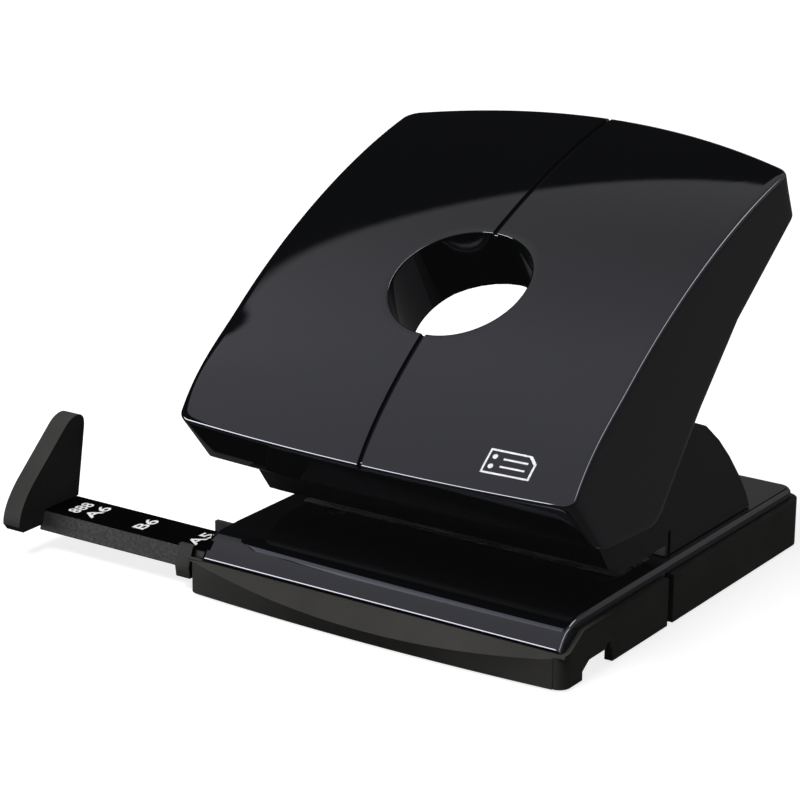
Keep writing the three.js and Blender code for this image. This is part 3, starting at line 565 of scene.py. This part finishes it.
def handle_shell():
    """The handle's outer skin: one ray after another, joined with quads."""
    front_in = u_at_length(FRONT_ROUND * FRONT_IN)
    rays = boundary_rays(SIDE_ROUND, front_in, 0.0)
    inner = boundary_rays(WALL + INNER_GAP, u_at_length(INNER_FRONT), INNER_REAR)
    count = len(rays)
    edge = [top_point(x, u) for x, u, _ in rays]
    normals = [top_normal(x, u) for x, u, _ in rays]
    shares = [(u - front_in) / (1 - front_in) for _, u, _ in rays]
    low = []
    for (x, _, _), share in zip(rays, shares):
        y, z = (np.interp(share * UNDER_RUN[-1], UNDER_RUN, UNDER[:, i]) for i in (0, 1))
        wide = x * HALF / (HALF - SIDE_ROUND)
        low.append(np.array([wide, bow(wide, y), z]))
    columns = []
    for k in range(count):
        after = (k + 1) % count
        out = unit(np.cross(edge[after] - edge[k - 1], normals[k]))
        wall = unit(np.cross(low[after] - low[k - 1], edge[k] - low[k]))
        columns.append(shell_ray(rays[k], inner[k], shares[k], edge[k], normals[k], out, low[k], wall))
    rings = len(columns[0])
    verts = [at(*p) for column in columns for p in column]
    faces = []
    for k in range(count):
        a, b = k * rings, ((k + 1) % count) * rings
        for j in range(rings):
            i = (j + 1) % rings
            faces.append((a + j, b + j, b + i, a + i))
    piece = new_piece("handle_shell_skin", verts, faces, GLOSS, "handle", ["handle_shell"])
    outward(piece)
    smooth(piece, SHELL_SHARP)


handle_shell()


# ---- printed marks ----------------------------------------------------------------------------------
# left and low: the sign's lower left corner, from the middle and along the surface from the front edge
SIGN = {"left": 31.0, "low": 4.9, "wide": 12.5, "tall": 6.4, "cut": 1.9, "stroke": 0.5, "slant": 0.12}
SIGN_HOLES = {"across": 1.9, "r": 0.65, "up": (0.3, 0.7), "points": 16}  # up: shares of the sign's height
SIGN_LINES = {"left": 4.2, "right": 2, "up": (0.3, 0.62)}
STROKE_CUTS = 8
PRINT_LIFT, PRINT_THICK = 0.04, 0.03


def sheet_sign():
    """A small picture of a punched sheet, printed on the handle: an outline, two holes and two lines."""
    wide, tall, cut, stroke = SIGN["wide"], SIGN["tall"], SIGN["cut"], SIGN["stroke"]
    outline = [(0, 0), (wide, 0), (wide, tall - cut), (wide - cut, tall), (0, tall)]
    inside = []
    for a, b in outline:
        inside.append((a + math.copysign(stroke, wide / 2 - a), b + math.copysign(stroke, tall / 2 - b)))
    shapes = []
    for i in range(len(outline)):
        j = (i + 1) % len(outline)
        shapes += short_strokes(outline[i], outline[j], inside[j], inside[i])
    count, across, radius = SIGN_HOLES["points"], SIGN_HOLES["across"], SIGN_HOLES["r"]
    turn = [2 * math.pi * k / count for k in range(count)]
    for b in (tall * share for share in SIGN_HOLES["up"]):
        shapes.append([(across + radius * math.cos(a), b + radius * math.sin(a)) for a in turn])
    left, right = SIGN_LINES["left"], wide - SIGN_LINES["right"]
    for b in (tall * share for share in SIGN_LINES["up"]):
        shapes += short_strokes((left, b), (right, b), (right, b + stroke), (left, b + stroke))
    verts, faces = [], []
    for shape in shapes:
        faces.append(list(range(len(verts), len(verts) + len(shape))))
        for a, b in shape:
            x = SIGN["left"] + a + SIGN["slant"] * b
            verts.append(at(*top_point(x, u_at_length(SIGN["low"] + b), -PRINT_LIFT)))
    piece = new_piece("sheet_sign", verts, faces, INK, "handle")
    thicken(piece, PRINT_THICK)


def short_strokes(a, b, c, d):
    """A four-sided stroke cut into short ones, so that it can follow a curved surface."""
    a, b, c, d = (Vector(p) for p in (a, b, c, d))
    cuts = [i / STROKE_CUTS for i in range(STROKE_CUTS + 1)]
    return [[a.lerp(b, s), a.lerp(b, t), d.lerp(c, t), d.lerp(c, s)] for s, t in zip(cuts, cuts[1:])]


def thicken(obj, thickness):
    """Gives a flat print a thickness in millimetres, below its face."""
    mod = obj.modifiers.new("thickness", "SOLIDIFY")
    mod.thickness = thickness * MM
    mod.offset = -1


RAIL_LOW, RAIL_HIGH = drawn("guide_rail")
MARKS = {"888": -98.6, "A6": -93.2, "B6": -77.3, "A5": -59.6}  # x of each mark
MARK = {"size": 4.9, "bolder": 0.07, "thick": 0.02, "shift_x": 1.5, "shift_y": 0.9}
MARK_STRETCH = {"long": 1.05, "short": 1.55}  # how much wider than the font, for three signs and for two


def rail_marks():
    """Paper formats printed across the guide's rail, read from the left."""
    for label, x in MARKS.items():
        curve = bpy.data.curves.new("mark_" + label, "FONT")
        curve.body = label
        curve.size = MARK["size"]
        curve.offset = MARK["bolder"]
        curve.align_x = "CENTER"
        curve.extrude = MARK["thick"]
        curve.resolution_u = 4
        text = link(bpy.data.objects.new("text_" + label, curve))
        mesh = bpy.data.meshes.new_from_object(text.evaluated_get(bpy.context.evaluated_depsgraph_get()))
        bpy.data.objects.remove(text)
        stretch = MARK_STRETCH["long" if len(label) > 2 else "short"]
        middle = (RAIL_LOW.y + RAIL_HIGH.y) / 2 + MARK["shift_y"]
        for v in mesh.vertices:
            across, up, lift = v.co
            v.co = at(x - up + MARK["shift_x"], middle + across * stretch, RAIL_HIGH.z + PRINT_LIFT + lift)
        mark = link(bpy.data.objects.new("mark_" + label, mesh))
        dress(mark, INK, "paper_guide")
        mark.visible_glossy = False


sheet_sign()
rail_marks()


# ---- return springs ---------------------------------------------------------------------------------
COIL = {
    "turns": 5,
    "per_turn": 28,  # points along the wire
    "radius": 3.9,
    "wire": 0.4,  # the wire's radius
    "sides": 8,
    "sharp": 60,  # degrees
    "pressed": 0.31,  # share of its height that is left with the punch right down
}


def return_spring(side):
    """A coil of round wire round a punch."""
    low, high = drawn("return_spring_" + side)
    pin_low, pin_high = drawn("punch_pin_" + side)
    middle = (pin_low + pin_high) / 2
    wire, sides = COIL["wire"], COIL["sides"]
    count = COIL["turns"] * COIL["per_turn"]
    up = Vector((0, 0, 1))
    verts, faces = [], []
    for i in range(count + 1):
        turn = 2 * math.pi * i / COIL["per_turn"]
        spoke = Vector((math.cos(turn), math.sin(turn), 0))
        z = low.z + wire + (high.z - low.z - 2 * wire) * i / count
        core = Vector((middle.x, middle.y, z)) + spoke * COIL["radius"]
        for k in range(sides):
            a = 2 * math.pi * k / sides
            verts.append(at(*(core + wire * (math.cos(a) * spoke + math.sin(a) * up))))
    for i in range(count):
        a, b = i * sides, (i + 1) * sides
        for k in range(sides):
            j = (k + 1) % sides
            faces.append((a + k, b + k, b + j, a + j))
    faces += [tuple(range(sides)), tuple(range(count * sides, (count + 1) * sides))]
    node = "return_spring_" + side
    piece = new_piece("coil_" + side, verts, faces, SPRING, "base", [node])
    outward(piece)
    smooth(piece, COIL["sharp"])
    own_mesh(piece)


for side in ("left", "right"):
    return_spring(side)


# ---- CAD nodes that stay, with their edges rounded --------------------------------------------------
COVER_LOW, COVER_HIGH = drawn("platform_cover")
RIM = {
    "width": 1.4,
    "segments": 6,
    "front_share": 0.6,  # of the width, on the ramp's lower edge
    "ramp_rear": 9.1,
    "ramp_slope": 0.6,
    "side_in": 0.1,
    "corner": 4.2,  # the rear corners' rounds start this far from the rear
    "near": 0.05,
    "ramp_near": 0.01,
}


def on_rim(point):
    """Whether a point lies on the outline of the platform's top or its ramp."""
    x, y, z = point.x / MM, (point.y - FRONT) / MM, point.z / MM
    at_side = abs(x) > COVER_HIGH.x - RIM["side_in"]
    if at_front_edge(point):
        return True
    if z > COVER_HIGH.z - RIM["near"]:
        return at_side or y > COVER_HIGH.y - RIM["corner"]
    return at_side and y < RIM["ramp_rear"] and z > COVER_LOW.z - RIM["ramp_near"] + RIM["ramp_slope"] * y


def at_front_edge(point):
    """Whether a point lies on the lower front edge of the platform's ramp."""
    return (point.y - FRONT) / MM < RIM["near"] and point.z / MM < COVER_LOW.z + RIM["near"]


def point_key(point):
    """A point rounded to hundredths of a millimetre, to find it again in another mesh."""
    return tuple(round(c / MM, 2) for c in point)


def round_rim(obj):
    """Weights the sharp edges of the platform's rim, and rounds them more than the others."""
    welded = bmesh.new()
    welded.from_mesh(obj.data)
    bmesh.ops.remove_doubles(welded, verts=welded.verts, dist=WELD_NODE)
    sharp = {}
    for edge in welded.edges:
        a, b = (v.co for v in edge.verts)
        if len(edge.link_faces) != 2 or edge.calc_face_angle(0) <= SHARP:
            continue
        if on_rim(a) and on_rim(b):
            low = at_front_edge(a) and at_front_edge(b)
            sharp[frozenset((point_key(a), point_key(b)))] = RIM["front_share"] if low else 1.0
    welded.free()
    points = [point_key(v.co) for v in obj.data.vertices]
    weights = obj.data.attributes.new("bevel_weight_edge", "FLOAT", "EDGE")
    for edge, weight in zip(obj.data.edges, weights.data):
        weight.value = sharp.get(frozenset(points[i] for i in edge.vertices), 0.0)
    mod = obj.modifiers.new("rim", "BEVEL")
    mod.width = RIM["width"] * MM
    mod.segments = RIM["segments"]
    mod.limit_method = "WEIGHT"
    mod.use_clamp_overlap = False


def keep(node, material, width):
    """A CAD node whose shape is right: merged, edges rounded by a width in millimetres, smooth shaded."""
    obj = frame["nodes"][node]
    obj.data.materials.clear()
    obj.data.materials.append(material)
    weld = obj.modifiers.new("weld", "WELD")
    weld.merge_threshold = WELD_NODE
    if node == "platform_cover":
        round_rim(obj)
    bevel(obj, width)
    obj.data.polygons.foreach_set("use_smooth", [True] * len(obj.data.polygons))
    normals = obj.modifiers.new("normals", "WEIGHTED_NORMAL")
    normals.keep_sharp = True
    normals.weight = 100
    return obj


LOOKS = {
    "gloss_black": GLOSS,
    "satin_black": SATIN,
    "matte_black": MATTE,
    "steel": STEEL,
    "spring_steel": SPRING,
    "rubber": RUBBER,
    "nylon": NYLON,
}
# rounding of each node's edges, in millimetres
EDGE = {
    "chip_tray": 0.4,
    "base_pan": 0.4,
    "platform_cover": 0.45,
    "tower_housing": 0.5,
    "guide_stop": 0.7,
    "guide_rail": 0.25,
    "rail_channel": 0.25,
    "handle_liner": 0.3,
    "lever_frame": 0.3,
}
SMALL_EDGE = 0.12
REPLACED = ("handle_shell", "return_spring_left", "return_spring_right")
UNMIRRORED = ("guide_stop",)  # kept out of the gloss's reflections
SPECIAL = {"guide_stop": GUIDE, "rail_channel": GUIDE, "guide_rail": RAIL}
SLOTS = {row["node"]: row["material_slot"] for row in frame["record"]["subparts"]}
for name in frame["nodes"]:
    if name in REPLACED:
        continue
    look = SPECIAL.get(name) or LOOKS[SLOTS[name]]
    keep(name, look, EDGE.get(name, SMALL_EDGE)).visible_glossy = name not in UNMIRRORED


# ---- stage ------------------------------------------------------------------------------------------
FLOOR_SIZE = 3.0  # half its side
FLOOR_COLOR = {"others": (0.03, 0.03, 0.03), "camera": (0.45, 0.45, 0.45)}
FLOOR_GLOW = 0.82  # to the camera
FLOOR_SEEN = {"front": 0.06, "right": 0.085}  # glow in reflections
FLOOR_TURN = (0.04, 0.12)  # x + y where the reflected glow goes from front to right


def floor():
    """A pale floor that stays dark in reflections, so that the black plastic stays black."""
    size = FLOOR_SIZE
    mesh = bpy.data.meshes.new("floor")
    corners = [(-size, -size, 0), (size, -size, 0), (size, size, 0), (-size, size, 0)]
    mesh.from_pydata(corners, [], [(0, 1, 2, 3)])
    obj = link(bpy.data.objects.new("floor", mesh))
    n = Nodes("pale_floor")
    seen = n.add("ShaderNodeLightPath").outputs["Is Camera Ray"]
    grain = n.between(n.noise(60, 3), 0.985, 1.0)
    color = n.blend(seen, FLOOR_COLOR["others"], FLOOR_COLOR["camera"])
    n.finish(color, n.between(grain, 0.9, 1.0))
    parts = n.add("ShaderNodeSeparateXYZ")
    n.join(n.place, parts.inputs[0])
    across = n.plus(parts.outputs["X"], parts.outputs["Y"])
    reflected = n.between(across, FLOOR_SEEN["front"], FLOOR_SEEN["right"], *FLOOR_TURN)
    glow = n.add("ShaderNodeMix", data_type="FLOAT")
    n.join(seen, glow.inputs["Factor"])
    n.join(reflected, glow.inputs["A"])
    glow.inputs["B"].default_value = FLOOR_GLOW
    n.join(glow.outputs["Result"], n.shader.inputs["Emission Strength"])
    n.shader.inputs["Emission Color"].default_value = (1, 1, 1, 1)
    n.shader.inputs["Specular IOR Level"].default_value = 0
    obj.data.materials.append(n.material)


LIGHT_AIM = Vector((0, 0, 0.04))


def area_light(name, azimuth, elevation, distance, size, radiance, diffuse=True, glossy=True):
    """A softbox that faces the object. Azimuth in degrees left of the front, size as width and height."""
    a, e = math.radians(azimuth), math.radians(elevation)
    data = bpy.data.lights.new(name, "AREA")
    data.shape = "RECTANGLE"
    data.size, data.size_y = size
    data.energy = radiance * math.pi * size[0] * size[1]
    obj = link(bpy.data.objects.new(name, data))
    away = Vector((-math.sin(a) * math.cos(e), -math.cos(a) * math.cos(e), math.sin(e)))
    obj.location = LIGHT_AIM + away * distance
    obj.rotation_mode = "QUATERNION"
    obj.rotation_quaternion = (-away).to_track_quat("-Z", "Y")
    obj.visible_glossy = glossy
    obj.visible_diffuse = diffuse


CARD_NORMAL = (-0.6616, 0.3559, -0.6600)  # the edge of the grey card that the plastic reflects
CARD = {"front": 0.98, "rear": 0.48}  # its brightness
CARD_BLUR = 0.007  # half the width of its edge
CARD_TURN = (-0.1, 0.42)  # y of the direction, from the card's front to its rear brightness
DARK = 0.010  # what reflections see elsewhere
HORIZON = 0.2  # brightness of a low stripe behind the object
HORIZON_TOP, HORIZON_FROM_Y = (0.34, 0.46), (0.785, 0.83)
BAND_NORMAL = (-0.537, -0.491, 0.686)  # a long lamp on the right, seen as a line on right-hand edges
BAND = 10.0  # its brightness
BAND_EDGE, BAND_FROM_X, BAND_FROM_Z = (0.09, 0.15), (0.3, 0.45), (0.25, 0.4)
WORLD_LIGHT = 0.17  # light from all round on rough surfaces


def world():
    """White to the camera. Reflections see a grey card with one straight edge, a grey horizon and a lamp."""
    made = bpy.data.worlds.new("studio")
    bpy.context.scene.world = made
    made.use_nodes = True
    tree = made.node_tree
    background = tree.nodes["Background"]

    def node(kind, **values):
        new = tree.nodes.new(kind)
        for key, value in values.items():
            setattr(new, key, value)
        return new

    def step(source, low, high, from_low, from_high):
        new = node("ShaderNodeMapRange", interpolation_type="SMOOTHSTEP")
        ends = {"From Min": from_low, "From Max": from_high, "To Min": low, "To Max": high}
        for name, value in ends.items():
            new.inputs[name].default_value = value
        tree.links.new(source, new.inputs["Value"])
        return new.outputs["Result"]

    def math_of(operation, a, b=0.0):
        new = node("ShaderNodeMath", operation=operation)
        for value, slot in ((a, new.inputs[0]), (b, new.inputs[1])):
            if isinstance(value, float):
                slot.default_value = value
            else:
                tree.links.new(value, slot)
        return new.outputs[0]

    def times(*factors):
        total = factors[0]
        for factor in factors[1:]:
            total = math_of("MULTIPLY", total, factor)
        return total

    direction = node("ShaderNodeTexCoord").outputs["Generated"]
    parts = node("ShaderNodeSeparateXYZ")
    tree.links.new(direction, parts.inputs[0])
    x, y, z = (parts.outputs[name] for name in "XYZ")

    def side_of(normal):
        dot = node("ShaderNodeVectorMath", operation="DOT_PRODUCT")
        dot.inputs[1].default_value = normal
        tree.links.new(direction, dot.inputs[0])
        return dot.outputs["Value"]

    on_card = step(side_of(CARD_NORMAL), 1.0, 0.0, -CARD_BLUR, CARD_BLUR)
    card = times(on_card, step(y, CARD["front"], CARD["rear"], *CARD_TURN))
    horizon = times(step(z, 1.0, 0.0, *HORIZON_TOP), step(y, 0.0, 1.0, *HORIZON_FROM_Y), HORIZON)
    near_band = step(math_of("ABSOLUTE", side_of(BAND_NORMAL)), 1.0, 0.0, *BAND_EDGE)
    band = times(near_band, step(x, 0.0, 1.0, *BAND_FROM_X), step(z, 0.0, 1.0, *BAND_FROM_Z), BAND)
    glossy = math_of("MAXIMUM", math_of("MAXIMUM", card, horizon), math_of("MAXIMUM", band, DARK))
    path = node("ShaderNodeLightPath")
    is_glossy, is_camera = path.outputs["Is Glossy Ray"], path.outputs["Is Camera Ray"]
    neither = math_of("SUBTRACT", 1.0, math_of("MAXIMUM", is_glossy, is_camera))
    strength = math_of("ADD", times(is_glossy, glossy), times(neither, WORLD_LIGHT))
    tree.links.new(math_of("ADD", strength, is_camera), background.inputs["Strength"])
    background.inputs["Color"].default_value = (1.0, 1.0, 1.0, 1)


CAMERA = {"azimuth": 33.6, "elevation": 18.0, "roll": 0.61, "distance": 0.761, "lens": 134.46}
AIM = Vector((-0.0277, -0.0070, 0.0424))  # what the camera looks at


def camera():
    """The photo's view: a long lens from the front right, a little above."""
    a, e = math.radians(CAMERA["azimuth"]), math.radians(CAMERA["elevation"])
    back = Vector((math.sin(a) * math.cos(e), -math.cos(a) * math.cos(e), math.sin(e)))
    data = bpy.data.cameras.new("camera")
    data.lens = CAMERA["lens"]
    data.clip_end = 20
    obj = link(bpy.data.objects.new("camera", data))
    obj.location = AIM + back * CAMERA["distance"]
    obj.rotation_mode = "QUATERNION"
    roll = Matrix.Rotation(math.radians(CAMERA["roll"]), 3, "Z").to_quaternion()
    obj.rotation_quaternion = (-back).to_track_quat("-Z", "Y") @ roll
    bpy.context.scene.camera = obj


floor()
world()
area_light(
    "front_strip", azimuth=35, elevation=6, distance=1.2, size=(0.95, 0.34), radiance=22, diffuse=False
)
area_light(
    "high_key", azimuth=25, elevation=62, distance=1.2, size=(0.8, 0.6), radiance=10.5, glossy=False
)
camera()
bpy.context.scene.view_settings.view_transform = "Standard"
